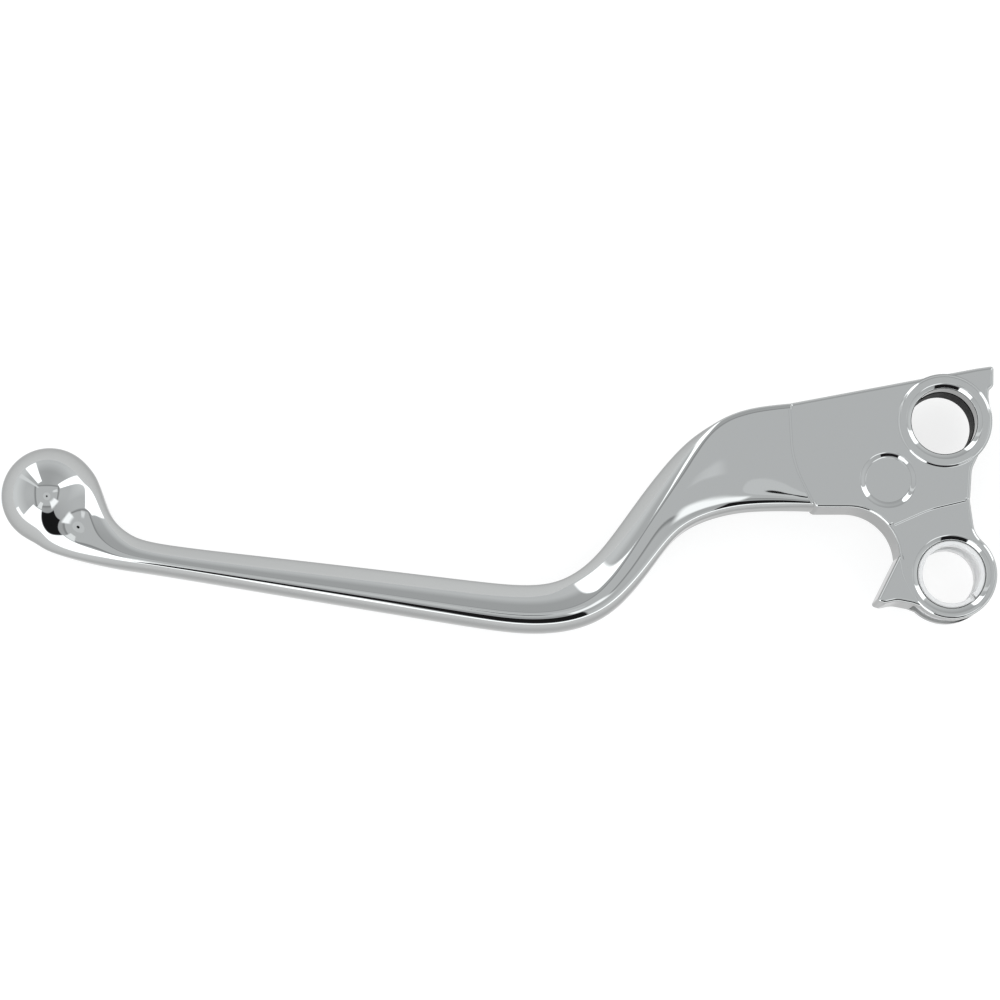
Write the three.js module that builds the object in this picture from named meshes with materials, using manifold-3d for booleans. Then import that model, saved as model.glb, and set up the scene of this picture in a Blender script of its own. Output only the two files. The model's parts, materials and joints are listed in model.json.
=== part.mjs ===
// A motorcycle clutch lever: one chrome casting with a ball end, a blade, a cranked web and
// a flat head, a liner bush in the pivot bore, and two flanged bushes for the cable pin.
// Millimetres, +Z up. The lever lies flat. The origin is on the pivot axis at mid thickness,
// +X points away from the blade and +Y towards the handlebar grip.

import * as THREE from 'three';
import { mergeVertices } from 'three/addons/utils/BufferGeometryUtils.js';
import Module from 'manifold-3d';

const wasm = await Module();
wasm.setup();

// Head
const PLATE_THICKNESS = 12.7;
const LUG_THICKNESS = 12.35;
const HOOK_THICKNESS = 11.95;
const PLATE_END_RADIUS = 9.1;
const EDGE_ROUND = 0.7;
const BOSS_THICKNESS = 13.3;
const BOSS_RADIUS = 8.9;
const BOSS_ROUND = 0.25;

// Chamfers at both faces of both bores
const CHAMFER_WIDTH = 0.95;
const CHAMFER_DEPTH = 0.55;

// Pivot bore: a plain lip under the front face, and a wider seat for the liner from the back
const PIVOT_LIP_RADIUS = 6.4;
const LINER_SEAT_RADIUS = 7.15;
const LINER_SEAT_TOP = 1.8;
const LINER_INNER_RADIUS = 6.3;
const LINER_BOTTOM = -5.4;

// Cable anchor: a lug with a milled slot, which leaves two ears
const ANCHOR_X = 1.0;
const ANCHOR_Y = -29.8;
const LUG_RADIUS = 8.8;
const ANCHOR_BORE_RADIUS = 6.6;
const SLOT_WIDTH = 6.4;
const SLOT_RADIUS = 9.4;
const CABLE_BUSH_INNER_RADIUS = 5.6;
const CABLE_BUSH_FLANGE_RADIUS = 8.2;
const CABLE_BUSH_FLANGE = 0.5;
const CABLE_BUSH_SPLIT = 1.0;
const CABLE_BUSH_SPLIT_ANGLE = -48;

// Hollow in the head's lower edge, beside the lug
const HOLLOW_X = -18.8;
const HOLLOW_Y = -26.6;
const HOLLOW_RADIUS = 9.7;

// Running fits between the bushes and the casting
const RADIAL_PLAY = 0.06;
const END_PLAY = 0.1;

// Shallow round recess in the front face
const RECESS_X = -11.1;
const RECESS_Y = -11.5;
const RECESS_FLOOR_RADIUS = 4.5;
const RECESS_DEPTH = 0.5;
const RECESS_SLOPE = 1.7;

// Ball end: its centre, and the direction in which its neck leaves it
const BALL_RADIUS = 9.4;
const BALL_X = -174.3;
const BALL_Y = -13.9;
const NECK_ANGLE = -37;
const BALL_ROW_STEP = 22.5;
const BALL_LAST_ROW = 112.5;

// Sections of the arm, from the neck of the ball to inside the head. Each one has its upper
// and lower edge in plan, its half height and its form: 0 is round, 1 the neck, 2 the blade,
// 3 the crank, 4 the crowned start of the web and 5 its flat end.
const ARM_SECTIONS = [
  { upper: [-164.9, -10.9], lower: [-175.0, -24.6], halfHeight: 7.1, form: 0.3 },
  { upper: [-163.7, -14.3], lower: [-170.5, -26.0], halfHeight: 6.2, form: 0.8 },
  { upper: [-162.2, -18.6], lower: [-165.7, -27.2], halfHeight: 6.35, form: 1.3 },
  { upper: [-158.3, -22.0], lower: [-159.9, -28.4], halfHeight: 6.85, form: 1.8 },
  { upper: [-153.3, -23.6], lower: [-154.2, -29.1], halfHeight: 7.1, form: 2 },
  { upper: [-130.7, -26.1], lower: [-131.9, -32.9], halfHeight: 7.4, form: 2 },
  { upper: [-107.2, -28.8], lower: [-108.4, -36.8], halfHeight: 7.6, form: 2 },
  { upper: [-87.7, -31.2], lower: [-88.7, -40.1], halfHeight: 7.6, form: 2 },
  { upper: [-81.9, -31.6], lower: [-81.3, -40.9], halfHeight: 7.6, form: 2 },
  { upper: [-77.2, -31.4], lower: [-74.6, -40.7], halfHeight: 7.6, form: 2 },
  { upper: [-73.1, -30.1], lower: [-68.2, -39.1], halfHeight: 7.6, form: 2 },
  { upper: [-68.6, -27.0], lower: [-62.8, -35.6], halfHeight: 7.4, form: 2.3 },
  { upper: [-64.2, -21.6], lower: [-57.2, -28.8], halfHeight: 7.2, form: 2.7 },
  { upper: [-59.0, -14.2], lower: [-52.5, -21.8], halfHeight: 7.15, form: 3 },
  { upper: [-54.1, -7.9], lower: [-47.9, -19.0], halfHeight: 7.1, form: 3.25 },
  { upper: [-49.5, -3.0], lower: [-42.9, -17.4], halfHeight: 6.85, form: 3.6 },
  { upper: [-44.5, 0.2], lower: [-37.9, -16.6], halfHeight: 6.5, form: 4 },
  { upper: [-38.6, 2.6], lower: [-31.6, -16.5], halfHeight: 6.25, form: 4.4 },
  { upper: [-32.6, 3.4], lower: [-26.8, -16.5], halfHeight: 6.12, form: 5 },
  { upper: [-27.7, 3.8], lower: [-22.8, -16.7], halfHeight: 6.1, form: 5 },
  { upper: [-22.8, 4.4], lower: [-18.8, -16.9], halfHeight: 6.1, form: 5 },
];

// Half section forms from the upper edge (1) to the lower edge (-1), with the share of the
// half height at each point. The blade's crest lies near its lower edge.
const SECTION_POINTS = 20;
const SECTION_STEP = 360 / SECTION_POINTS;
const ROUND_FORM = Array.from({ length: SECTION_POINTS / 2 + 1 }, (_, k) => {
  const angle = THREE.MathUtils.degToRad(k * SECTION_STEP);
  const radius = controlSpread(SECTION_STEP);
  return [radius * Math.cos(angle), radius * Math.sin(angle)];
});
const NECK_FORM = [
  [1, 0], [1.02, 0.42], [0.93, 0.7], [0.72, 0.89], [0.42, 0.985], [0.05, 1.02],
  [-0.35, 1], [-0.7, 0.9], [-0.93, 0.7], [-1.02, 0.42], [-1, 0],
];
const BLADE_FORM = [
  [1, 0], [1, 0.3], [0.9, 0.48], [0.5, 0.72], [0.2, 0.89], [-0.12, 0.975],
  [-0.36, 1], [-0.56, 0.97], [-0.66, 0.92], [-0.94, 0.78], [-1.03, 0],
];
const CRANK_FORM = [
  [1, 0], [1.02, 0.34], [0.62, 0.72], [0.42, 0.87], [0.2, 0.96], [-0.05, 1],
  [-0.3, 0.97], [-0.62, 0.9], [-0.92, 0.8], [-1.04, 0.58], [-1, 0],
];
const CROWNED_FORM = [
  [1, 0], [1, 0.55], [1, 0.88], [0.985, 0.965], [0.93, 1], [0.6, 1],
  [-0.1, 0.965], [-0.56, 0.903], [-0.88, 0.836], [-1.02, 0.62], [-1, 0],
];
const WEB_FORM = [
  [1, 0], [1, 0.55], [1, 0.88], [0.985, 0.965], [0.93, 1], [0.75, 1],
  [0, 1], [-0.75, 1], [-0.96, 0.985], [-1, 0.75], [-1, 0],
];
const FORMS = [ROUND_FORM, NECK_FORM, BLADE_FORM, CRANK_FORM, CROWNED_FORM, WEB_FORM];
const STEPS_AROUND = 2;
const STEPS_ALONG = 2;

// Facets of round pieces and of rounded corners
const ROUND_SEGMENTS = 48;
const CORNER_STEP = 12;

// Head outlines in plan, clockwise: x, y and corner radius. The plate and the lug share the
// wall of the hollow.
const HOLLOW_ARC = arcPoints(HOLLOW_X, HOLLOW_Y, HOLLOW_RADIUS, 5, 90);
const PLATE_OUTLINE = [
  [-30.1, 3.5, 0],
  [6.4, 10.4, 6],
  [9.75, 10.9, 0],
  [9.65, 6.9, 0],
  [8.75, 6.2, 0.5],
  [8.65, 4.9, 1.5],
  ...arcPoints(0, 0, PLATE_END_RADIUS, 8, -42),
  [5.2, -9.3, 5],
  [4.75, -15.4, 0],
  [-3.2, -17.3, 20],
  ...HOLLOW_ARC.slice(3),
  [-25.2, -16.9, 0],
  [-29.6, -7.9, 20],
];
const LUG_OUTLINE = [
  [4.3, -11.0, 0],
  [4.75, -15.6, 9],
  [5.55, -21.8, 5],
  ...arcPoints(ANCHOR_X, ANCHOR_Y, LUG_RADIUS, 46, -132),
  [-5.9, -35.3, 0.8],
  [-8.5, -30.2, 8],
  ...HOLLOW_ARC.slice(0, 6),
  [-9.0, -15.8, 0],
];
const HOOK_OUTLINE = [
  [-4.0, -25.8, 0],
  [-3.0, -37.0, 0],
  [-6.6, -35.6, 3],
  [-9.6, -35.0, 4],
  [-12.0, -35.5, 1],
  [-13.6, -35.0, 0],
  [-8.2, -24.3, 0],
];

const chrome = new THREE.MeshStandardMaterial({ color: 0xd3d7d9, metalness: 1, roughness: 0.08 });
const liner = new THREE.MeshStandardMaterial({ color: 0x1b1d1f, metalness: 0, roughness: 0.5 });
const nylon = new THREE.MeshStandardMaterial({ color: 0xd9d9d2, metalness: 0, roughness: 0.45 });

// A cubic B-spline lies inside its control points, so those of a circle, at one angle step in
// degrees, stand this much further out.
function controlSpread(step) {
  return 1 / (2 / 3 + Math.cos(THREE.MathUtils.degToRad(step)) / 3);
}

// Points of a circular arc from one angle to the other, in degrees, as sharp outline corners.
function arcPoints(x, y, radius, from, to) {
  const count = Math.ceil(Math.abs(to - from) / CORNER_STEP);
  return Array.from({ length: count + 1 }, (_, k) => {
    const angle = THREE.MathUtils.degToRad(from + ((to - from) * k) / count);
    return [x + radius * Math.cos(angle), y + radius * Math.sin(angle), 0];
  });
}

// Arc that rounds one corner of an outline.
function roundedCorner(before, corner, after, radius) {
  const inward = before.clone().sub(corner).normalize();
  const outward = after.clone().sub(corner).normalize();
  const halfAngle = Math.acos(THREE.MathUtils.clamp(inward.dot(outward), -1, 1)) / 2;
  const middle = inward.clone().add(outward).normalize();
  const centre = middle.multiplyScalar(radius / Math.sin(halfAngle)).add(corner);
  const reach = radius / Math.tan(halfAngle);
  const start = inward.multiplyScalar(reach).add(corner).sub(centre);
  const end = outward.multiplyScalar(reach).add(corner).sub(centre);
  const turn = Math.PI - 2 * halfAngle;
  const side = Math.sign(start.cross(end));
  const count = Math.max(1, Math.ceil(THREE.MathUtils.radToDeg(turn) / CORNER_STEP));
  return Array.from({ length: count + 1 }, (_, k) =>
    start.clone().rotateAround(new THREE.Vector2(), (side * turn * k) / count).add(centre),
  );
}

// Closed shape through outline corners, each rounded by its own radius.
function roundedShape(outline) {
  const corners = outline.map(([x, y]) => new THREE.Vector2(x, y));
  const points = outline.flatMap(([, , radius], k) => {
    const before = corners.at(k - 1);
    const after = corners[(k + 1) % corners.length];
    return radius > 0 ? roundedCorner(before, corners[k], after, radius) : [corners[k]];
  });
  return new THREE.Shape(points);
}

// Geometry with only shared positions, as a manifold solid.
function toSolid(geometry) {
  geometry.deleteAttribute('normal');
  geometry.deleteAttribute('uv');
  const merged = mergeVertices(geometry);
  const index = merged.index.array;
  const triangles = [];
  for (let k = 0; k < index.length; k += 3) {
    const [a, b, c] = index.slice(k, k + 3);
    if (a !== b && b !== c && c !== a) triangles.push(a, b, c);
  }
  return new wasm.Manifold(
    new wasm.Mesh({
      numProp: 3,
      vertProperties: new Float32Array(merged.attributes.position.array),
      triVerts: new Uint32Array(triangles),
    }),
  );
}

// Flat plate of an outline, centred on the mid plane, with rounded edges.
function plate(outline, thickness) {
  const geometry = new THREE.ExtrudeGeometry(roundedShape(outline), {
    depth: thickness - 2 * EDGE_ROUND,
    bevelThickness: EDGE_ROUND,
    bevelSize: EDGE_ROUND,
    bevelOffset: -EDGE_ROUND,
    bevelSegments: 2,
  });
  geometry.translate(0, 0, EDGE_ROUND - thickness / 2);
  return toSolid(geometry);
}

// Solid of revolution about a vertical axis: radius and height pairs from bottom to top.
function turned(profile, x = 0, y = 0) {
  const points = profile.map(([radius, height]) => new THREE.Vector2(radius, height));
  const geometry = new THREE.LatheGeometry(points, ROUND_SEGMENTS);
  geometry.rotateX(Math.PI / 2);
  geometry.translate(x, y, 0);
  return toSolid(geometry);
}

// Plain disc between two heights.
function disc(radius, bottom, top, x, y) {
  return turned([[0, bottom], [radius, bottom], [radius, top], [0, top]], x, y);
}

// Cutter for a through bore with a chamfer at each face.
function boreCutter(radius, thickness, x, y) {
  const face = thickness / 2;
  const inner = face - CHAMFER_DEPTH;
  const outer = face + CHAMFER_DEPTH;
  const wide = radius + 2 * CHAMFER_WIDTH;
  return turned([
    [0, -outer],
    [wide, -outer],
    [radius, -inner],
    [radius, inner],
    [wide, outer],
    [0, outer],
  ], x, y);
}

// One row of control points around a section.
function sectionRow(upper, lower, halfHeight, form) {
  const middle = upper.clone().add(lower).multiplyScalar(0.5);
  const half = upper.clone().sub(middle);
  const first = Math.min(Math.floor(form), FORMS.length - 2);
  const [from, to] = [FORMS[first], FORMS[first + 1]];
  const share = form - first;
  return Array.from({ length: SECTION_POINTS }, (_, k) => {
    const step = Math.min(k, SECTION_POINTS - k);
    const across = THREE.MathUtils.lerp(from[step][0], to[step][0], share);
    const height = THREE.MathUtils.lerp(from[step][1], to[step][1], share);
    const side = k > SECTION_POINTS / 2 ? -1 : 1;
    return new THREE.Vector3(
      middle.x + half.x * across,
      middle.y + half.y * across,
      side * halfHeight * height,
    );
  });
}

// Rows of the ball, by angle from its pole. The row before the pole is the first ring turned
// half way round, so the surface closes there smoothly.
function ballRows() {
  const centre = new THREE.Vector2(BALL_X, BALL_Y);
  const neck = THREE.MathUtils.degToRad(NECK_ANGLE);
  const along = new THREE.Vector2(Math.cos(neck), Math.sin(neck));
  const across = new THREE.Vector2(-along.y, along.x);
  const radius = BALL_RADIUS * controlSpread(BALL_ROW_STEP);
  const ring = (degrees) => {
    const angle = THREE.MathUtils.degToRad(degrees);
    const middle = along.clone().multiplyScalar(-radius * Math.cos(angle)).add(centre);
    const half = radius * Math.sin(angle);
    const offset = across.clone().multiplyScalar(half);
    return sectionRow(middle.clone().add(offset), middle.clone().sub(offset), half, 0);
  };
  const first = ring(BALL_ROW_STEP);
  const turnedFirst = first.map((_, k) => first[(k + SECTION_POINTS / 2) % SECTION_POINTS]);
  const rings = [];
  for (let degrees = 2 * BALL_ROW_STEP; degrees <= BALL_LAST_ROW; degrees += BALL_ROW_STEP) {
    rings.push(ring(degrees));
  }
  return [turnedFirst, ring(0), first, ...rings];
}

// Uniform cubic B-spline weights.
function splineWeights(t) {
  const s = 1 - t;
  return [
    s ** 3 / 6,
    (3 * t ** 3 - 6 * t ** 2 + 4) / 6,
    (3 * s ** 3 - 6 * s ** 2 + 4) / 6,
    t ** 3 / 6,
  ];
}

// Point of the spline surface in one patch of the control rows.
function surfacePoint(rows, row, u, column, v) {
  const rowWeights = splineWeights(u);
  const columnWeights = splineWeights(v);
  const point = new THREE.Vector3();
  for (let i = 0; i < 4; i += 1) {
    for (let j = 0; j < 4; j += 1) {
      const control = rows[row + i][(column + j - 1 + SECTION_POINTS) % SECTION_POINTS];
      point.addScaledVector(control, rowWeights[i] * columnWeights[j]);
    }
  }
  return point;
}

// Ball, blade and web as one closed spline surface, capped inside the head.
function arm() {
  const toVector = ([x, y]) => new THREE.Vector2(x, y);
  const sections = ARM_SECTIONS.map(({ upper, lower, halfHeight, form }) =>
    sectionRow(toVector(upper), toVector(lower), halfHeight, form),
  );
  const rows = [...ballRows(), ...sections];
  const around = SECTION_POINTS * STEPS_AROUND;
  const rings = (rows.length - 3) * STEPS_ALONG;
  const vertices = [surfacePoint(rows, 0, 0, 0, 0)];
  for (let ring = 1; ring <= rings; ring += 1) {
    const row = Math.min(Math.floor(ring / STEPS_ALONG), rows.length - 4);
    for (let k = 0; k < around; k += 1) {
      const column = Math.floor(k / STEPS_AROUND);
      const u = ring / STEPS_ALONG - row;
      vertices.push(surfacePoint(rows, row, u, column, k / STEPS_AROUND - column));
    }
  }
  const lastRing = vertices.slice(-around);
  const capCentre = new THREE.Vector3();
  lastRing.forEach((point) => capCentre.addScaledVector(point, 1 / around));
  vertices.push(capCentre);

  const pole = 0;
  const cap = vertices.length - 1;
  const at = (ring, k) => 1 + (ring - 1) * around + (k % around);
  const triangles = [];
  for (let k = 0; k < around; k += 1) {
    triangles.push(pole, at(1, k + 1), at(1, k));
    triangles.push(cap, at(rings, k), at(rings, k + 1));
    for (let ring = 1; ring < rings; ring += 1) {
      const [a, b] = [at(ring, k), at(ring, k + 1)];
      const [c, d] = [at(ring + 1, k + 1), at(ring + 1, k)];
      triangles.push(a, b, c, a, c, d);
    }
  }
  const geometry = new THREE.BufferGeometry().setFromPoints(vertices);
  geometry.setIndex(triangles);
  return toSolid(geometry);
}

// Flat head: plate, lug, hook and the raised boss around the pivot.
function head() {
  const face = BOSS_THICKNESS / 2;
  const boss = turned([
    [0, -face],
    [BOSS_RADIUS - BOSS_ROUND, -face],
    [BOSS_RADIUS, BOSS_ROUND - face],
    [BOSS_RADIUS, face - BOSS_ROUND],
    [BOSS_RADIUS - BOSS_ROUND, face],
    [0, face],
  ]);
  return plate(PLATE_OUTLINE, PLATE_THICKNESS)
    .add(plate(LUG_OUTLINE, LUG_THICKNESS))
    .add(plate(HOOK_OUTLINE, HOOK_THICKNESS))
    .add(boss);
}

// Blind recess in the front face, with a sloping wall and a flat floor.
function recessCutter() {
  const floor = PLATE_THICKNESS / 2 - RECESS_DEPTH;
  const rim = RECESS_FLOOR_RADIUS + RECESS_SLOPE * 2 * RECESS_DEPTH;
  const profile = [[0, floor], [RECESS_FLOOR_RADIUS, floor], [rim, floor + 2 * RECESS_DEPTH]];
  return turned([...profile, [0, floor + 2 * RECESS_DEPTH]], RECESS_X, RECESS_Y);
}

function leverCasting() {
  const seatBottom = -BOSS_THICKNESS;
  const slot = SLOT_WIDTH / 2;
  return arm()
    .add(head())
    .subtract(boreCutter(PIVOT_LIP_RADIUS, BOSS_THICKNESS, 0, 0))
    .subtract(disc(LINER_SEAT_RADIUS, seatBottom, LINER_SEAT_TOP, 0, 0))
    .subtract(boreCutter(ANCHOR_BORE_RADIUS, LUG_THICKNESS, ANCHOR_X, ANCHOR_Y))
    .subtract(disc(SLOT_RADIUS, -slot, slot, ANCHOR_X, ANCHOR_Y))
    .subtract(recessCutter());
}

// Dark liner in its seat, on which the lever turns.
function pivotBush() {
  const outer = LINER_SEAT_RADIUS - RADIAL_PLAY;
  const top = LINER_SEAT_TOP - END_PLAY;
  return turned([
    [LINER_INNER_RADIUS, LINER_BOTTOM],
    [outer, LINER_BOTTOM],
    [outer, top],
    [LINER_INNER_RADIUS, top],
    [LINER_INNER_RADIUS, LINER_BOTTOM],
  ]);
}

// Split bush in the upper ear, with its flange inside the slot.
function cableBush() {
  const outer = ANCHOR_BORE_RADIUS - RADIAL_PLAY;
  const flangeTop = SLOT_WIDTH / 2 - END_PLAY;
  const flangeBottom = flangeTop - CABLE_BUSH_FLANGE;
  const top = LUG_THICKNESS / 2 - CHAMFER_DEPTH;
  const ring = turned([
    [CABLE_BUSH_INNER_RADIUS, flangeBottom],
    [CABLE_BUSH_FLANGE_RADIUS, flangeBottom],
    [CABLE_BUSH_FLANGE_RADIUS, flangeTop],
    [outer, flangeTop],
    [outer, top],
    [CABLE_BUSH_INNER_RADIUS, top],
    [CABLE_BUSH_INNER_RADIUS, flangeBottom],
  ]);
  const split = new THREE.BoxGeometry(LUG_RADIUS, CABLE_BUSH_SPLIT, LUG_THICKNESS);
  split.translate(LUG_RADIUS / 2, 0, 0);
  return ring.subtract(toSolid(split));
}

// Named mesh of a solid.
function part(name, solid, material) {
  const { vertProperties, triVerts } = solid.getMesh();
  const geometry = new THREE.BufferGeometry();
  geometry.setAttribute('position', new THREE.BufferAttribute(vertProperties, 3));
  geometry.setIndex(new THREE.BufferAttribute(triVerts, 1));
  geometry.computeVertexNormals();
  const mesh = new THREE.Mesh(geometry, material);
  mesh.name = name;
  return mesh;
}

const clutchLever = new THREE.Group();
clutchLever.add(part('lever_casting', leverCasting(), chrome));
clutchLever.add(part('pivot_bush', pivotBush(), liner));
for (const [name, flip] of [['anchor_bush_upper', 0], ['anchor_bush_lower', Math.PI]]) {
  const bush = part(name, cableBush(), nylon);
  bush.position.set(ANCHOR_X, ANCHOR_Y, 0);
  bush.rotation.set(flip, 0, THREE.MathUtils.degToRad(CABLE_BUSH_SPLIT_ANGLE), 'ZYX');
  clutchLever.add(bush);
}

export default clutchLever;
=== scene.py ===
"""Looks of the clutch lever: fine casting, bushes, chrome, pale floor and a soft light tent."""

import json
import math

import bmesh
import bpy
import numpy as np
from mathutils import Matrix, Vector


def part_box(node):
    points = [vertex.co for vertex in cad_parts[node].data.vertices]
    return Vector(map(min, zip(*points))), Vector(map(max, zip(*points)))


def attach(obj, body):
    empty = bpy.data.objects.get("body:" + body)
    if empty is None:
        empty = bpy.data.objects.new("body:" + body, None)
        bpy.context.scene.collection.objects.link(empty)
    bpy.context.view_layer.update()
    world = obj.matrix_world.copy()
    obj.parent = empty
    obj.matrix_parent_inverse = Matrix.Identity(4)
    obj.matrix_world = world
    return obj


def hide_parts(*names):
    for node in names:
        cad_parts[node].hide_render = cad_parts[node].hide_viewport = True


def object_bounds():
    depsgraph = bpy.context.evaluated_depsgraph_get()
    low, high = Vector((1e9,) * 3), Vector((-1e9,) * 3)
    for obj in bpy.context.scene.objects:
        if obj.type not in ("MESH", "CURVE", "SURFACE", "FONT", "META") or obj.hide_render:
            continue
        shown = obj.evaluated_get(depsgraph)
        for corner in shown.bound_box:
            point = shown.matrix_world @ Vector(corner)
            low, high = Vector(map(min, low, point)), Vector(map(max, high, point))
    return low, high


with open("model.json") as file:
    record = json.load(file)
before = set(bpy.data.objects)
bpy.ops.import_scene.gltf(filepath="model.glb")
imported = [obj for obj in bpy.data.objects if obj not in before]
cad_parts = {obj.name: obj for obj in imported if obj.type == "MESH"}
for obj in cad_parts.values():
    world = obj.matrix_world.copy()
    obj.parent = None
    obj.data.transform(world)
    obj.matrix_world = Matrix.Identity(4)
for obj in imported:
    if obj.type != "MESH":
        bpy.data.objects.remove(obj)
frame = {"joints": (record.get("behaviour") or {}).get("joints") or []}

CAD_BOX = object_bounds()
MM = 0.001

# Axis of the cable pin from the frame, in millimetres
JOINTS = {joint["name"]: joint for joint in frame["joints"]}
ANCHOR_X, ANCHOR_Y = (value / MM for value in JOINTS["cable_pin_turn"]["pos_m"][:2])

# Head, in millimetres, as in the CAD model
PLATE_THICKNESS = 12.7
LUG_THICKNESS = 12.35
WEB_THICKNESS = 12.2
HOOK_THICKNESS = 11.95
EDGE_ROUND = 0.7
BOSS_THICKNESS = 13.3
BOSS_RADIUS = 8.9

PIVOT_LIP_RADIUS = 6.4
LINER_SEAT_RADIUS = 7.15
LINER_SEAT_TOP = 1.8
LINER_INNER_RADIUS = 6.3
LINER_EDGE = 0.3

PLATE_END_RADIUS = 9.1
LUG_RADIUS = 8.8
ANCHOR_BORE_RADIUS = 6.6
CHAMFER_WIDTH = 0.95
CHAMFER_DEPTH = 0.55
SLOT_WIDTH = 6.4
SLOT_RADIUS = 9.4
CABLE_BUSH_INNER_RADIUS = 5.6
CABLE_BUSH_FLANGE_RADIUS = 8.2
CABLE_BUSH_FLANGE = 0.5
CABLE_BUSH_SPLIT = 1.0
CABLE_BUSH_SPLIT_ANGLE = -48
CABLE_BUSH_EDGE = 0.2

RADIAL_PLAY = 0.06
END_PLAY = 0.1

RECESS_X = -11.1
RECESS_Y = -11.5
RECESS_FLOOR_RADIUS = 4.5
RECESS_DEPTH = 0.5
RECESS_SLOPE = 1.7

# The hollow between web, plate and hook: its centre and radius, and the angles of its arc at the
# hook, where the plate's outline takes over from the lug's, and at the web
HOLLOW = (-18.8, -26.6, 9.7)
HOLLOW_HOOK = 5
HOLLOW_TURN = 37.5
HOLLOW_WEB = 90
HOLLOW_OVERLAP = 20

# Arm, in millimetres
BALL_RADIUS = 9.4
BALL_CENTRE = (-174.3, -13.9)
NECK_ANGLE = -37
BALL_ROW_STEP = 22.5
BALL_ROWS = 5

# Sections of the arm from the neck to inside the head: upper edge, lower edge, half height and
# form. Form 0 is round, 1 the neck, 2 the blade, 3 the crank, 4 the crowned start of the web and
# 5 its flat end. A form in between is a mix of its two neighbours.
ARM_SECTIONS = [
    ((-164.9, -10.9), (-175.0, -24.6), 7.1, 0.3),
    ((-163.7, -14.3), (-170.5, -26.0), 6.2, 0.8),
    ((-162.2, -18.6), (-165.7, -27.2), 6.35, 1.3),
    ((-158.3, -22.0), (-159.9, -28.4), 6.85, 1.8),
    ((-153.3, -23.6), (-154.2, -29.1), 7.1, 2),
    ((-130.7, -26.1), (-131.9, -32.9), 7.4, 2),
    ((-107.2, -28.8), (-108.4, -36.8), 7.6, 2),
    ((-87.7, -31.2), (-88.7, -40.1), 7.6, 2),
    ((-81.9, -31.6), (-81.3, -40.9), 7.6, 2),
    ((-77.2, -31.4), (-74.6, -40.7), 7.6, 2),
    ((-73.1, -30.1), (-68.2, -39.1), 7.6, 2),
    ((-68.6, -27.0), (-62.8, -35.6), 7.4, 2.3),
    ((-64.2, -21.6), (-57.2, -28.8), 7.2, 2.7),
    ((-59.0, -14.2), (-52.5, -21.8), 7.15, 3),
    ((-54.1, -7.9), (-47.9, -19.0), 7.1, 3.25),
    ((-49.5, -3.0), (-42.9, -17.4), 6.85, 3.6),
    ((-44.5, 0.2), (-37.9, -16.6), 6.5, 4),
    ((-38.6, 2.6), (-31.6, -16.5), 6.25, 4.4),
    ((-32.6, 3.4), (-26.8, -16.5), 6.12, 5),
    ((-27.7, 3.8), (-22.8, -16.7), 6.1, 5),
    ((-22.8, 4.4), (-18.8, -16.9), 6.1, 5),
]
SECTION_POINTS = 20

# Half of each form, from the upper edge over the top to the lower edge, in half widths and heights
NECK_FORM = [
    (1, 0), (1.02, 0.42), (0.93, 0.7), (0.72, 0.89), (0.42, 0.985), (0.05, 1.02),
    (-0.35, 1), (-0.7, 0.9), (-0.93, 0.7), (-1.02, 0.42), (-1, 0),
]
BLADE_FORM = [
    (1, 0), (1, 0.3), (0.9, 0.48), (0.5, 0.72), (0.2, 0.89), (-0.12, 0.975),
    (-0.36, 1), (-0.56, 0.97), (-0.66, 0.92), (-0.94, 0.78), (-1.03, 0),
]
CRANK_FORM = [
    (1, 0), (1.02, 0.34), (0.62, 0.72), (0.42, 0.87), (0.2, 0.96), (-0.05, 1),
    (-0.3, 0.97), (-0.62, 0.9), (-0.92, 0.8), (-1.04, 0.58), (-1, 0),
]
CROWNED_FORM = [
    (1, 0), (1, 0.55), (1, 0.88), (0.985, 0.965), (0.93, 1), (0.6, 1),
    (-0.1, 0.965), (-0.56, 0.903), (-0.88, 0.836), (-1.02, 0.62), (-1, 0),
]
WEB_FORM = [
    (1, 0), (1, 0.55), (1, 0.88), (0.985, 0.965), (0.93, 1), (0.75, 1),
    (0, 1), (-0.75, 1), (-0.96, 0.985), (-1, 0.75), (-1, 0),
]

# Fineness: steps in each span of the arm's surface, steps around a turned piece, degrees to a step
# of a rounded corner, steps across a rounded edge, and the angle from which an edge is sharp
STEPS_AROUND = 6
STEPS_ALONG = 9
ROUND_SEGMENTS = 192
CORNER_STEP = 2.5
EDGE_SEGMENTS = 8
SMOOTH_ANGLE = 20

# The faces of the head meet in soft steps. The solid of each step reaches back under the higher
# face and sinks a little into the lower one.
WEB_STEP_WIDTH = 0.9
LUG_STEP_WIDTH = 0.5
BOSS_STEP_WIDTH = 0.7
STEP_REACH = 2.0
STEP_OVERLAP = 0.03

# The machined edges are slightly broken: a cutter leaves the face on a faint slope, then rises
# clear of it.
BROKEN_EDGE = 0.3
LEAD = 0.5
LEAD_RISE = 0.01
CUT_OVER = 1.0

# Floor, in metres
FLOOR_SIZE = 6.0
FLOOR_GLOW = 0.76

# Light tent, by direction from the object: brightness of each part, and the tint of them all
TENT_CEILING = 0.95
TENT_SEAM = 0.49
TENT_WALL = 0.73
TENT_SIDE_GAIN = 0.24
TENT_LOW_GAIN = 0.3
TENT_DARK = 0.02
TINT = (0.98, 1.0, 1.01)

# Half widths of the ceiling, as shares of its height; the camera looks through it
CEILING_SIDE = math.tan(math.radians(26))
CEILING_FAR = math.tan(math.radians(17))
CEILING_NEAR = math.tan(math.radians(29))
# Least height of a direction, so that its share of the ceiling stays finite
HORIZON = 0.01
SEAM_WIDTH = 0.12
SEAM_EDGE = 1 + 1.5 * SEAM_WIDTH
WALL_FADE_TOP = math.radians(35)
WALL_FADE_BOTTOM = math.radians(10)

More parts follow.
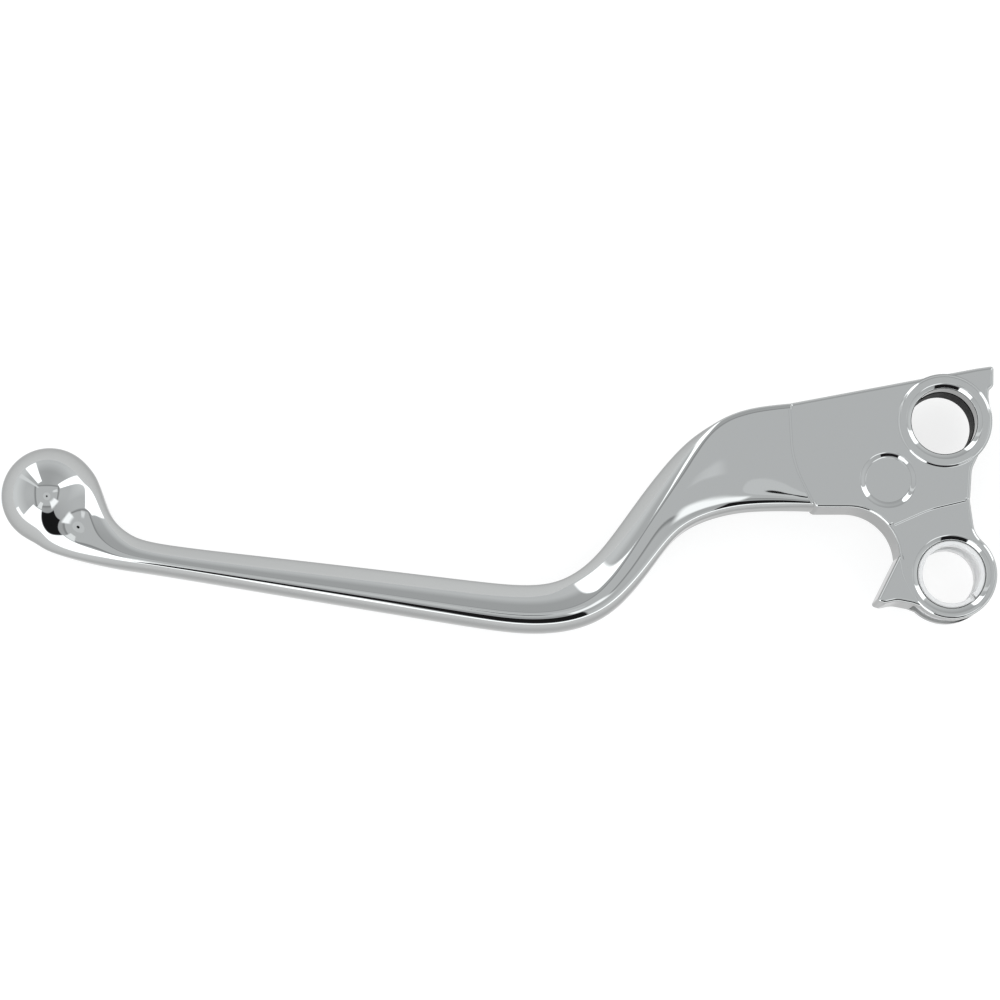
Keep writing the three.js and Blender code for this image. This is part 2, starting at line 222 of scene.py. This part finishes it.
# The round opening in the ceiling for the camera, with the dark lens in it
OPENING_AZIMUTH = math.radians(270)
OPENING_ELEVATION = math.radians(83)
OPENING_RADIUS = math.radians(9)
OPENING_SOFTNESS = math.radians(0.4)
OPENING_LIGHT = 1.1
LENS_RADIUS = math.radians(2.3)

# Patches, mostly on the walls: azimuths, elevations and edge softness in degrees, and brightness
PATCHES = [
    # Front: dark doorway, white strip below it and lamps on its two sides
    ((250, 297), (12, 46), 1.2, TENT_DARK),
    ((200, 335), (-5, 9), 1.2, 2.6),
    ((290, 328), (52, 69), 4, 2.1),
    ((232, 248), (50, 65), 1.2, 1.6),
    ((218, 249), (6, 48), 1.2, 2.8),
    # Back, from left to right: narrow strip, two tall panels and a lamp above them
    ((142, 149), (4, 66), 1.2, 1.35),
    ((113, 132), (2, 59), 1.2, 2.8),
    ((22, 41), (2, 57), 1.2, 2.8),
    ((8, 24), (64, 75), 3, 1.5),
]

# Camera, in metres: nearly straight down on the lever's face, leaning to its lower edge
CAMERA_ELEVATION = math.radians(83)
CAMERA_DISTANCE = 0.69
VIEW_WIDTH = 0.1954
AIM_OFFSET = Vector((0.00061, 0.00026, 0))


# ---- outlines -------------------------------------------------------------------------

def arc_points(x, y, radius, start, end):
    """Points of an arc from one angle to the other, in degrees, as sharp corners."""
    count = math.ceil(abs(end - start) / CORNER_STEP)
    angles = [math.radians(start + (end - start) * k / count) for k in range(count + 1)]
    return [(x + radius * math.cos(a), y + radius * math.sin(a), 0) for a in angles]


def rounded_corner(before, corner, after, radius):
    """Points of the arc that rounds one corner."""
    inward = (before - corner).normalized()
    outward = (after - corner).normalized()
    half_angle = inward.angle(outward) / 2
    centre = corner + (inward + outward).normalized() * radius / math.sin(half_angle)
    reach = radius / math.tan(half_angle)
    start = corner + inward * reach - centre
    end = corner + outward * reach - centre
    turn = math.pi - 2 * half_angle
    side = 1 if start.cross(end) > 0 else -1
    count = max(2, math.ceil(math.degrees(turn) / CORNER_STEP))
    return [
        centre + Matrix.Rotation(side * turn * k / count, 2) @ start
        for k in range(count + 1)
    ]


def rounded_outline(corners):
    """Closed outline through (x, y, radius) corners."""
    places = [Vector(corner[:2]) for corner in corners]
    points = []
    for k, (_, _, radius) in enumerate(corners):
        after = places[(k + 1) % len(places)]
        if radius:
            points += rounded_corner(places[k - 1], places[k], after, radius)
        else:
            points.append(places[k])
    return points


def rounded_path(corners):
    """Open path through (x, y, radius) corners."""
    places = [Vector(corner[:2]) for corner in corners]
    points = [places[0]]
    for before, place, after, corner in zip(places, places[1:], places[2:], corners[1:]):
        if corner[2]:
            points += rounded_corner(before, place, after, corner[2])
        else:
            points.append(place)
    return points + [places[-1]]


PLATE_OUTLINE = [
    (-30.1, 3.5, 0),
    (6.4, 10.4, 6),
    (9.75, 10.9, 0),
    (9.65, 6.9, 0),
    (8.75, 6.2, 0.5),
    (8.65, 4.9, 1.5),
    *arc_points(0, 0, PLATE_END_RADIUS, 8, -42),
    (5.2, -9.3, 5),
    (4.75, -15.4, 0),
    (-3.2, -17.3, 20),
    *arc_points(*HOLLOW, HOLLOW_TURN, HOLLOW_WEB),
    (-25.2, -16.9, 0),
    (-29.6, -7.9, 20),
]
LUG_OUTLINE = [
    (4.3, -11.0, 0),
    (4.75, -15.6, 9),
    (5.55, -21.8, 5),
    *arc_points(ANCHOR_X, ANCHOR_Y, LUG_RADIUS, 46, -132),
    (-5.9, -35.3, 0.8),
    (-8.5, -30.2, 8),
    *arc_points(*HOLLOW, HOLLOW_HOOK, HOLLOW_TURN + HOLLOW_OVERLAP),
    (-9.0, -15.8, 0),
]
HOOK_OUTLINE = [
    (-4.0, -25.8, 0),
    (-3.0, -37.0, 0),
    (-6.6, -35.6, 3),
    (-9.6, -35.0, 4),
    (-12.0, -35.5, 1),
    (-13.6, -35.0, 0),
    (-8.2, -24.3, 0),
]
# Where the head's faces step down, each with the lower face on its left
WEB_STEP = [(-25.7, -15.9, 0), (-29.6, -7.9, 20), (-30.05, 2.3, 0)]
LUG_STEP = [(3.9, -15.6, 0), (-3.2, -17.3, 20), (-10.1, -20.35, 0)]
HOOK_STEP = [(-6.4, -34.3, 0), (-8.5, -30.2, 8), (-8.95, -27.1, 0)]


# ---- solids, in millimetres until they are finished ------------------------------------

def new_object(name, mesh):
    piece = bpy.data.objects.new(name, mesh)
    bpy.context.scene.collection.objects.link(piece)
    return piece


def object_from(name, vertices, faces):
    mesh = bpy.data.meshes.new(name)
    mesh.from_pydata([tuple(v) for v in vertices], [], faces)
    mesh.update()
    return new_object(name, mesh)


def plate(name, outline, thickness):
    """Flat plate of an outline with rounded edges and corners."""
    points = rounded_outline(outline)
    count = len(points)
    half = thickness / 2
    bm = bmesh.new()
    low = [bm.verts.new((p.x, p.y, -half)) for p in points]
    high = [bm.verts.new((p.x, p.y, half)) for p in points]
    # The outlines run clockwise.
    bm.faces.new(low)
    bm.faces.new(high[::-1])
    for k in range(count):
        after = (k + 1) % count
        bm.faces.new((low[k], high[k], high[after], low[after]))
    bm.normal_update()
    sharp = math.radians(SMOOTH_ANGLE)
    edges = [edge for edge in bm.edges if edge.calc_face_angle() > sharp]
    bmesh.ops.bevel(
        bm,
        geom=edges,
        offset=EDGE_ROUND,
        segments=EDGE_SEGMENTS,
        profile=0.5,
        affect="EDGES",
        clamp_overlap=False,
    )
    mesh = bpy.data.meshes.new(name)
    bm.to_mesh(mesh)
    bm.free()
    return new_object(name, mesh)


def turned(name, profile, x=0, y=0):
    """Solid of revolution about a vertical axis, from (radius, height) pairs.

    The profile goes up along the outside. One that starts and ends on the axis makes a solid
    piece, and any other is closed on itself and makes a ring.
    """
    solid = profile[0][0] == 0
    loop = profile[1:-1] if solid else profile
    angles = [2 * math.pi * k / ROUND_SEGMENTS for k in range(ROUND_SEGMENTS)]
    vertices = [
        (x + radius * math.cos(a), y + radius * math.sin(a), height)
        for radius, height in loop
        for a in angles
    ]

    def ring_face(row, after, k):
        k_after = (k + 1) % ROUND_SEGMENTS
        return (
            row * ROUND_SEGMENTS + k,
            row * ROUND_SEGMENTS + k_after,
            after * ROUND_SEGMENTS + k_after,
            after * ROUND_SEGMENTS + k,
        )

    pairs = [(row, row + 1) for row in range(len(loop) - 1)]
    if not solid:
        pairs.append((len(loop) - 1, 0))
    faces = [ring_face(row, after, k) for row, after in pairs for k in range(ROUND_SEGMENTS)]
    if solid:
        last = (len(loop) - 1) * ROUND_SEGMENTS
        faces.append(tuple(reversed(range(ROUND_SEGMENTS))))
        faces.append(tuple(range(last, last + ROUND_SEGMENTS)))
    return object_from(name, vertices, faces)


def box(name, x_range, y_range, z_range):
    corners = [(x, y, z) for x in x_range for y in y_range for z in z_range]
    faces = [
        (0, 1, 3, 2), (4, 6, 7, 5), (0, 4, 5, 1),
        (2, 3, 7, 6), (0, 2, 6, 4), (1, 5, 7, 3),
    ]
    return object_from(name, corners, faces)


def eased(profile, radius, steps=4):
    """The profile with each corner between its ends rounded by a short curve."""
    points = [Vector(p) for p in profile]
    result = [points[0]]
    for before, corner, after in zip(points, points[1:], points[2:]):
        room = min((before - corner).length, (after - corner).length) / 2
        reach = min(radius, room)
        start = corner + (before - corner).normalized() * reach
        end = corner + (after - corner).normalized() * reach
        for k in range(steps + 1):
            t = k / steps
            result.append(start * (1 - t) ** 2 + corner * 2 * t * (1 - t) + end * t ** 2)
    result.append(points[-1])
    return [tuple(p) for p in result]


def combine(piece, operation, others):
    """Joins other solids to a piece, or cuts them from it, and removes them."""
    for other in others:
        modifier = piece.modifiers.new("solid", "BOOLEAN")
        modifier.operation = operation
        modifier.solver = "MANIFOLD"
        modifier.object = other
        bpy.context.view_layer.update()
        evaluated = piece.evaluated_get(bpy.context.evaluated_depsgraph_get())
        mesh = bpy.data.meshes.new_from_object(evaluated)
        piece.modifiers.clear()
        piece.data = mesh
        bpy.data.objects.remove(other)
    return piece


def finish_piece(piece, body, node, material):
    """Scales a piece to metres, shades it and gives it its place in the frame."""
    piece.data.transform(Matrix.Scale(MM, 4))
    piece.data.polygons.foreach_set("use_smooth", [True] * len(piece.data.polygons))
    piece.data.set_sharp_from_angle(angle=math.radians(SMOOTH_ANGLE))
    weighted = piece.modifiers.new("even shading", "WEIGHTED_NORMAL")
    weighted.keep_sharp = True
    weighted.weight = 100
    piece.data.materials.clear()
    piece.data.materials.append(material)
    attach(piece, body)
    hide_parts(node)


# ---- arm ------------------------------------------------------------------------------

def control_spread(step):
    """How far out the control points of a circle stand for one angle step in degrees."""
    return 1 / (2 / 3 + math.cos(math.radians(step)) / 3)


def round_form():
    step = 360 / SECTION_POINTS
    radius = control_spread(step)
    angles = [math.radians(step * k) for k in range(SECTION_POINTS // 2 + 1)]
    return [(radius * math.cos(a), radius * math.sin(a)) for a in angles]


FORMS = [
    np.array(form)
    for form in (round_form(), NECK_FORM, BLADE_FORM, CRANK_FORM, CROWNED_FORM, WEB_FORM)
]


def section_row(upper, lower, half_height, form):
    """Control points around one section."""
    upper, lower = np.array(upper), np.array(lower)
    middle, half = (upper + lower) / 2, (upper - lower) / 2
    first = min(int(form), len(FORMS) - 2)
    points = FORMS[first] * (1 - form + first) + FORMS[first + 1] * (form - first)
    around = np.concatenate([points, points[-2:0:-1] * (1, -1)])
    plan = middle + half * around[:, :1]
    return np.column_stack([plan, half_height * around[:, 1]])


def ball_rows():
    """Rows of the ball from its pole. The first is the ring after the pole, turned half way
    round, so the surface closes smoothly."""
    neck = math.radians(NECK_ANGLE)
    along = np.array([math.cos(neck), math.sin(neck)])
    across = np.array([-along[1], along[0]])
    radius = BALL_RADIUS * control_spread(BALL_ROW_STEP)

    def ring(degrees):
        angle = math.radians(degrees)
        middle = np.array(BALL_CENTRE) - along * radius * math.cos(angle)
        half = radius * math.sin(angle)
        return section_row(middle + across * half, middle - across * half, half, 0)

    rings = [ring(BALL_ROW_STEP * k) for k in range(BALL_ROWS + 1)]
    return [np.roll(rings[1], SECTION_POINTS // 2, axis=0), *rings]


def spline_weights(steps):
    """Uniform cubic B-spline weights at each step of one span."""
    t = np.arange(steps) / steps
    s = 1 - t
    return np.column_stack([
        s ** 3 / 6,
        (3 * t ** 3 - 6 * t ** 2 + 4) / 6,
        (3 * s ** 3 - 6 * s ** 2 + 4) / 6,
        t ** 3 / 6,
    ])


def arm_rings():
    """Rings of surface points from the pole of the ball to inside the head."""
    rows = np.array(ball_rows() + [section_row(*section) for section in ARM_SECTIONS])
    columns = np.stack([np.roll(rows, 1 - k, axis=1) for k in range(4)])
    fine = np.einsum("sk,krcd->rcsd", spline_weights(STEPS_AROUND), columns)
    fine = fine.reshape(len(rows), SECTION_POINTS * STEPS_AROUND, 3)
    spans = np.stack([fine[k:len(rows) - 3 + k] for k in range(4)])
    rings = np.einsum("sk,krcd->rscd", spline_weights(STEPS_ALONG), spans)
    return rings.reshape(-1, fine.shape[1], 3)


def arm():
    """Ball, blade and web as one closed solid."""
    rings = arm_rings()
    pole, rings = rings[0, 0], rings[1:]
    around = rings.shape[1]
    last = len(rings) - 1
    vertices = [*rings.reshape(-1, 3), pole, rings[-1].mean(axis=0)]
    pole_index, cap_index = len(vertices) - 2, len(vertices) - 1

    def at(ring, k):
        return ring * around + k % around

    faces = []
    for k in range(around):
        faces.append((pole_index, at(0, k + 1), at(0, k)))
        faces.append((cap_index, at(last, k), at(last, k + 1)))
        for ring in range(last):
            faces.append((at(ring, k), at(ring, k + 1), at(ring + 1, k + 1), at(ring + 1, k)))
    return object_from("lever_casting_fine", vertices, faces)


# ---- casting --------------------------------------------------------------------------

def step_points(start, end, drop, steps=6):
    """Points of a soft step down: a convex arc and then a concave one, across and down."""
    width = abs(end - start)
    way = math.copysign(1, end - start)
    slope = 2 * math.atan(drop / width)
    radius = width / (2 * math.sin(slope))
    angles = [slope * k / steps for k in range(steps + 1)]
    convex = [(radius * math.sin(a), radius * (1 - math.cos(a))) for a in angles]
    concave = [(width - across, drop - down) for across, down in convex[-2::-1]]
    return [(start + way * across, -down) for across, down in convex + concave]


def soft_step(name, path, width, high, low):
    """Soft step along a path between two flat faces, on both sides of the casting.

    The lower face is on the left of the path.
    """
    half_width = width / 2
    top = step_points(-half_width, half_width, high / 2 - low / 2)
    profile = [(-STEP_REACH, high / 2)]
    profile += [(across, high / 2 + down) for across, down in top]
    profile.append((half_width, low / 2 - STEP_OVERLAP))
    profile += [(across, -height) for across, height in profile[::-1]]
    points = rounded_path(path)
    vertices = []
    for k, point in enumerate(points):
        before = points[max(k - 1, 0)]
        after = points[min(k + 1, len(points) - 1)]
        along = (after - before).normalized()
        left = Vector((-along.y, along.x))
        vertices += [(*(point + left * across), height) for across, height in profile]
    around = len(profile)
    last_row = len(vertices) - around
    faces = [tuple(range(around)), tuple(reversed(range(last_row, len(vertices))))]
    for row in range(0, last_row, around):
        next_row = row + around
        for k in range(around):
            after = (k + 1) % around
            faces.append((row + after, row + k, next_row + k, next_row + after))
    return object_from(name, vertices, faces)


def mouth_profile(rim, face):
    """Cutter outline that leaves a face softly, then stands clear of it."""
    return [
        (rim, face),
        (rim + LEAD, face + LEAD_RISE),
        (rim + LEAD, face + CUT_OVER),
        (0, face + CUT_OVER),
    ]


def bore_cutter(radius, thickness, x, y):
    """Through bore with a shallow chamfer at each face, its edges slightly broken."""
    face = thickness / 2
    upper = [(radius, face - CHAMFER_DEPTH), *mouth_profile(radius + CHAMFER_WIDTH, face)]
    lower = [(across, -height) for across, height in upper[::-1]]
    return turned("bore_cutter", eased(lower + upper, BROKEN_EDGE), x, y)


def recess_cutter():
    face = PLATE_THICKNESS / 2
    floor = [(0, face - RECESS_DEPTH), (RECESS_FLOOR_RADIUS, face - RECESS_DEPTH)]
    rim = RECESS_FLOOR_RADIUS + RECESS_SLOPE * RECESS_DEPTH
    profile = floor + mouth_profile(rim, face)
    return turned("recess_cutter", eased(profile, BROKEN_EDGE), RECESS_X, RECESS_Y)


def disc(radius, bottom, top, x=0, y=0):
    return turned("disc", [(0, bottom), (radius, bottom), (radius, top), (0, top)], x, y)


def boss():
    """Boss around the pivot, easing into the plate's faces."""
    face = BOSS_THICKNESS / 2
    drop = (BOSS_THICKNESS - PLATE_THICKNESS) / 2
    inner, outer = BOSS_RADIUS - BOSS_STEP_WIDTH / 2, BOSS_RADIUS + BOSS_STEP_WIDTH / 2
    steps = [(radius, face + down) for radius, down in step_points(inner, outer, drop)]
    upper = [(outer, face - drop - STEP_OVERLAP), *steps[::-1], (0, face)]
    lower = [(across, -height) for across, height in upper[::-1]]
    return turned("boss", lower + upper)


def casting(material):
    piece = combine(arm(), "UNION", [
        plate("plate", PLATE_OUTLINE, PLATE_THICKNESS),
        plate("lug", LUG_OUTLINE, LUG_THICKNESS),
        plate("hook", HOOK_OUTLINE, HOOK_THICKNESS),
        soft_step("web_step", WEB_STEP, WEB_STEP_WIDTH, PLATE_THICKNESS, WEB_THICKNESS),
        soft_step("lug_step", LUG_STEP, LUG_STEP_WIDTH, PLATE_THICKNESS, LUG_THICKNESS),
        soft_step("hook_step", HOOK_STEP, LUG_STEP_WIDTH, LUG_THICKNESS, HOOK_THICKNESS),
        boss(),
    ])
    slot = SLOT_WIDTH / 2
    combine(piece, "DIFFERENCE", [
        bore_cutter(PIVOT_LIP_RADIUS, BOSS_THICKNESS, 0, 0),
        disc(LINER_SEAT_RADIUS, -BOSS_THICKNESS, LINER_SEAT_TOP),
        bore_cutter(ANCHOR_BORE_RADIUS, LUG_THICKNESS, ANCHOR_X, ANCHOR_Y),
        disc(SLOT_RADIUS, -slot, slot, ANCHOR_X, ANCHOR_Y),
        recess_cutter(),
    ])
    finish_piece(piece, "lever", "lever_casting", material)


# ---- bushes ---------------------------------------------------------------------------

def pivot_liner(material):
    low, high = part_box("pivot_bush")
    bottom, top = low[2] / MM, high[2] / MM
    outer = LINER_SEAT_RADIUS - RADIAL_PLAY
    inner = LINER_INNER_RADIUS
    profile = [
        (inner, bottom + LINER_EDGE),
        (inner + LINER_EDGE, bottom),
        (outer - LINER_EDGE, bottom),
        (outer, bottom + LINER_EDGE),
        (outer, top - LINER_EDGE),
        (outer - LINER_EDGE, top),
        (inner + LINER_EDGE, top),
        (inner, top - LINER_EDGE),
    ]
    piece = turned("pivot_bush_fine", profile)
    finish_piece(piece, "liner", "pivot_bush", material)


def cable_bush(name, node, side, material):
    """Split bush in one ear, with its flange inside the slot."""
    outer = ANCHOR_BORE_RADIUS - RADIAL_PLAY
    inner = CABLE_BUSH_INNER_RADIUS
    flange_top = SLOT_WIDTH / 2 - END_PLAY
    flange_bottom = flange_top - CABLE_BUSH_FLANGE
    low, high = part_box(node)
    top = max(-low[2], high[2]) / MM
    edge = CABLE_BUSH_EDGE
    profile = [
        (inner + edge, flange_bottom),
        (CABLE_BUSH_FLANGE_RADIUS, flange_bottom),
        (CABLE_BUSH_FLANGE_RADIUS, flange_top),
        (outer, flange_top),
        (outer, top - edge),
        (outer - edge, top),
        (inner + edge, top),
        (inner, top - edge),
        (inner, flange_bottom + edge),
    ]
    piece = turned(name, profile)
    half = CABLE_BUSH_SPLIT / 2
    split = box("split", (0, LUG_RADIUS), (-half, half), (0, LUG_THICKNESS))
    combine(piece, "DIFFERENCE", [split])
    place = Matrix.Translation((ANCHOR_X, ANCHOR_Y, 0))
    turn = Matrix.Rotation(math.radians(CABLE_BUSH_SPLIT_ANGLE), 4, "Z")
    flip = Matrix.Rotation(0 if side > 0 else math.pi, 4, "X")
    piece.data.transform(place @ turn @ flip)
    finish_piece(piece, "cable_pin_bushes", node, material)


# ---- materials ------------------------------------------------------------------------

def new_material(name):
    """A node material, with its tree and its Principled shader."""
    material = bpy.data.materials.new(name)
    material.use_nodes = True
    return material, material.node_tree, material.node_tree.nodes["Principled BSDF"]


def noise(tree, scale, detail):
    """Noise in object space, with its frequency in cycles per metre."""
    place = tree.nodes.new("ShaderNodeTexCoord")
    texture = tree.nodes.new("ShaderNodeTexNoise")
    texture.inputs["Scale"].default_value = scale
    texture.inputs["Detail"].default_value = detail
    tree.links.new(place.outputs["Object"], texture.inputs["Vector"])
    return texture.outputs["Fac"]


def remap(tree, value, low, high, from_low=0.0, from_high=1.0):
    """The value carried from one range to another."""
    node = tree.nodes.new("ShaderNodeMapRange")
    tree.links.new(value, node.inputs["Value"])
    for name, number in (
        ("From Min", from_low), ("From Max", from_high), ("To Min", low), ("To Max", high),
    ):
        node.inputs[name].default_value = number
    return node.outputs["Result"]


def bump(tree, shader, height, distance):
    """Surface relief of a real depth in metres."""
    node = tree.nodes.new("ShaderNodeBump")
    node.inputs["Distance"].default_value = distance
    tree.links.new(height, node.inputs["Height"])
    tree.links.new(node.outputs["Normal"], shader.inputs["Normal"])


def chrome_material():
    """Polished chrome plate: bright, with a faint ripple from the casting under it."""
    material, tree, shader = new_material("polished_chrome")
    shader.inputs["Base Color"].default_value = (0.45, 0.457, 0.455, 1)
    shader.inputs["Specular Tint"].default_value = (0.62, 0.62, 0.62, 1)
    shader.inputs["Metallic"].default_value = 1
    clouds = noise(tree, scale=140, detail=4)
    haze = remap(tree, clouds, low=0.015, high=0.06, from_low=0.35, from_high=0.75)
    tree.links.new(haze, shader.inputs["Roughness"])
    bump(tree, shader, noise(tree, scale=160, detail=1), distance=0.00002)
    return material


def liner_material():
    """Dark self-lubricating liner."""
    material, tree, shader = new_material("dark_liner")
    shader.inputs["Base Color"].default_value = (0.005, 0.005, 0.006, 1)
    shader.inputs["Specular IOR Level"].default_value = 0.02
    roughness = remap(tree, noise(tree, scale=900, detail=3), low=0.35, high=0.6)
    tree.links.new(roughness, shader.inputs["Roughness"])
    bump(tree, shader, noise(tree, scale=2500, detail=2), distance=0.00001)
    return material


def nylon_material():
    """Natural nylon, milky white."""
    material, tree, shader = new_material("natural_nylon")
    shader.inputs["Base Color"].default_value = (0.72, 0.72, 0.72, 1)
    roughness = remap(tree, noise(tree, scale=600, detail=2), low=0.3, high=0.5)
    tree.links.new(roughness, shader.inputs["Roughness"])
    bump(tree, shader, noise(tree, scale=1500, detail=2), distance=0.00001)
    return material


def floor_material():
    """Pale glowing table top."""
    material, _, shader = new_material("pale_table")
    shader.inputs["Base Color"].default_value = (0.3, 0.3, 0.3, 1)
    shader.inputs["Roughness"].default_value = 0.9
    shader.inputs["Emission Color"].default_value = (1, 1, 1, 1)
    shader.inputs["Emission Strength"].default_value = FLOOR_GLOW
    return material


# ---- studio ---------------------------------------------------------------------------

class Formula:
    """Small maths nodes for the light tent. Arguments are numbers or sockets."""

    def __init__(self, tree):
        self.tree = tree

    def value(self, operation, *inputs):
        node = self.tree.nodes.new("ShaderNodeMath")
        node.operation = operation
        for socket, given in zip(node.inputs, inputs):
            self.feed(socket, given)
        return node.outputs["Value"]

    def feed(self, socket, given):
        if isinstance(given, (int, float)):
            socket.default_value = given
        else:
            self.tree.links.new(given, socket)

    def step(self, value, edge, softness):
        """0 below the edge and 1 above it, with a soft edge."""
        node = self.tree.nodes.new("ShaderNodeMapRange")
        node.interpolation_type = "SMOOTHSTEP"
        self.feed(node.inputs["Value"], value)
        node.inputs["From Min"].default_value = edge - softness
        node.inputs["From Max"].default_value = edge + softness
        return node.outputs["Result"]

    def below(self, value, edge, softness):
        """1 below the edge and 0 above it, with a soft edge."""
        return self.value("SUBTRACT", 1, self.step(value, edge, softness))

    def clamp(self, value):
        return self.value("MAXIMUM", 0, self.value("MINIMUM", 1, value))

    def band(self, value, degrees, softness):
        """1 between two angles and 0 outside them."""
        low, high = map(math.radians, degrees)
        below = self.below(value, high, softness)
        return self.value("MULTIPLY", self.step(value, low, softness), below)

    def paint(self, base, share, brightness):
        """Brightness where the share is 1, and the base where it is 0."""
        change = self.value("SUBTRACT", brightness, base)
        return self.value("MULTIPLY_ADD", change, share, base)


def tent_walls(maths, turn, elevation):
    """Brightness of the walls, with more light at the sides and near the floor."""
    drop = maths.value("SUBTRACT", WALL_FADE_TOP, elevation)
    low = maths.clamp(maths.value("DIVIDE", drop, WALL_FADE_TOP - WALL_FADE_BOTTOM))
    sideways = maths.value("POWER", maths.value("COSINE", turn), 2)
    light = maths.value("MULTIPLY_ADD", sideways, TENT_SIDE_GAIN, TENT_WALL)
    return maths.value("MULTIPLY_ADD", low, TENT_LOW_GAIN, light)


def paint_ceiling(maths, light, x, y, z):
    """Flat ceiling with a darker seam around it. A direction's spread is 1 at its edge."""
    height = maths.value("MAXIMUM", z, HORIZON)
    across = maths.value("ABSOLUTE", maths.value("DIVIDE", x, height))
    depth = maths.value("DIVIDE", y, height)
    side = maths.value("DIVIDE", across, CEILING_SIDE)
    far = maths.value("DIVIDE", depth, CEILING_FAR)
    near = maths.value("DIVIDE", depth, -CEILING_NEAR)
    spread = maths.value("MAXIMUM", side, maths.value("MAXIMUM", far, near))
    light = maths.paint(light, maths.below(spread, SEAM_EDGE, SEAM_WIDTH), TENT_SEAM)
    return maths.paint(light, maths.below(spread, 1, SEAM_WIDTH / 2), TENT_CEILING)


def paint_opening(maths, light, direction):
    """Round opening in the ceiling, with the lens in its middle."""
    along = math.cos(OPENING_ELEVATION)
    centre = (
        along * math.cos(OPENING_AZIMUTH),
        along * math.sin(OPENING_AZIMUTH),
        math.sin(OPENING_ELEVATION),
    )
    squares = [
        maths.value("POWER", maths.value("SUBTRACT", value, middle), 2)
        for value, middle in zip(direction, centre)
    ]
    away = maths.value("SQRT", maths.value("ADD", squares[0], maths.value("ADD", *squares[1:])))
    light = maths.paint(light, maths.below(away, OPENING_RADIUS, OPENING_SOFTNESS), OPENING_LIGHT)
    return maths.paint(light, maths.below(away, LENS_RADIUS, OPENING_SOFTNESS), TENT_DARK)


def paint_patches(maths, light, turn, elevation):
    for azimuths, elevations, softness, brightness in PATCHES:
        across = maths.band(turn, azimuths, math.radians(softness))
        upright = maths.band(elevation, elevations, math.radians(softness))
        light = maths.paint(light, maths.value("MULTIPLY", across, upright), brightness)
    return light


def light_tent():
    """Soft studio tent of bright walls and ceiling, a camera opening, and white and dark panels."""
    world = bpy.data.worlds.new("light_tent")
    bpy.context.scene.world = world
    world.use_nodes = True
    tree = world.node_tree
    maths = Formula(tree)
    place = tree.nodes.new("ShaderNodeTexCoord")
    split = tree.nodes.new("ShaderNodeSeparateXYZ")
    tree.links.new(place.outputs["Generated"], split.inputs["Vector"])
    direction = [split.outputs[axis] for axis in "XYZ"]
    x, y, z = direction
    elevation = maths.value("ARCSINE", z)
    turn = maths.value("FLOORED_MODULO", maths.value("ARCTAN2", y, x), 2 * math.pi)

    light = tent_walls(maths, turn, elevation)
    light = paint_ceiling(maths, light, x, y, z)
    light = paint_opening(maths, light, direction)
    light = paint_patches(maths, light, turn, elevation)
    background = tree.nodes["Background"]
    background.inputs["Color"].default_value = (*TINT, 1)
    tree.links.new(light, background.inputs["Strength"])


def floor():
    low = CAD_BOX[0][2]
    half = FLOOR_SIZE / 2
    corners = [(-half, -half, low), (half, -half, low), (half, half, low), (-half, half, low)]
    table = object_from("pale_floor", corners, [(0, 1, 2, 3)])
    table.data.materials.append(floor_material())


def camera():
    low, high = (Vector(corner) for corner in CAD_BOX)
    target = (low + high) / 2 + AIM_OFFSET
    target.z = 0
    away = Vector((0, -math.cos(CAMERA_ELEVATION), math.sin(CAMERA_ELEVATION)))
    data = bpy.data.cameras.new("camera")
    data.lens = data.sensor_width * CAMERA_DISTANCE / VIEW_WIDTH
    piece = new_object("camera", data)
    piece.location = target + away * CAMERA_DISTANCE
    piece.rotation_euler = away.to_track_quat("Z", "Y").to_euler()
    bpy.context.scene.camera = piece


def main():
    camera()
    light_tent()
    floor()
    nylon = nylon_material()
    casting(chrome_material())
    pivot_liner(liner_material())
    cable_bush("anchor_bush_upper_fine", "anchor_bush_upper", 1, nylon)
    cable_bush("anchor_bush_lower_fine", "anchor_bush_lower", -1, nylon)
    bpy.context.scene.view_settings.view_transform = "Standard"


main()
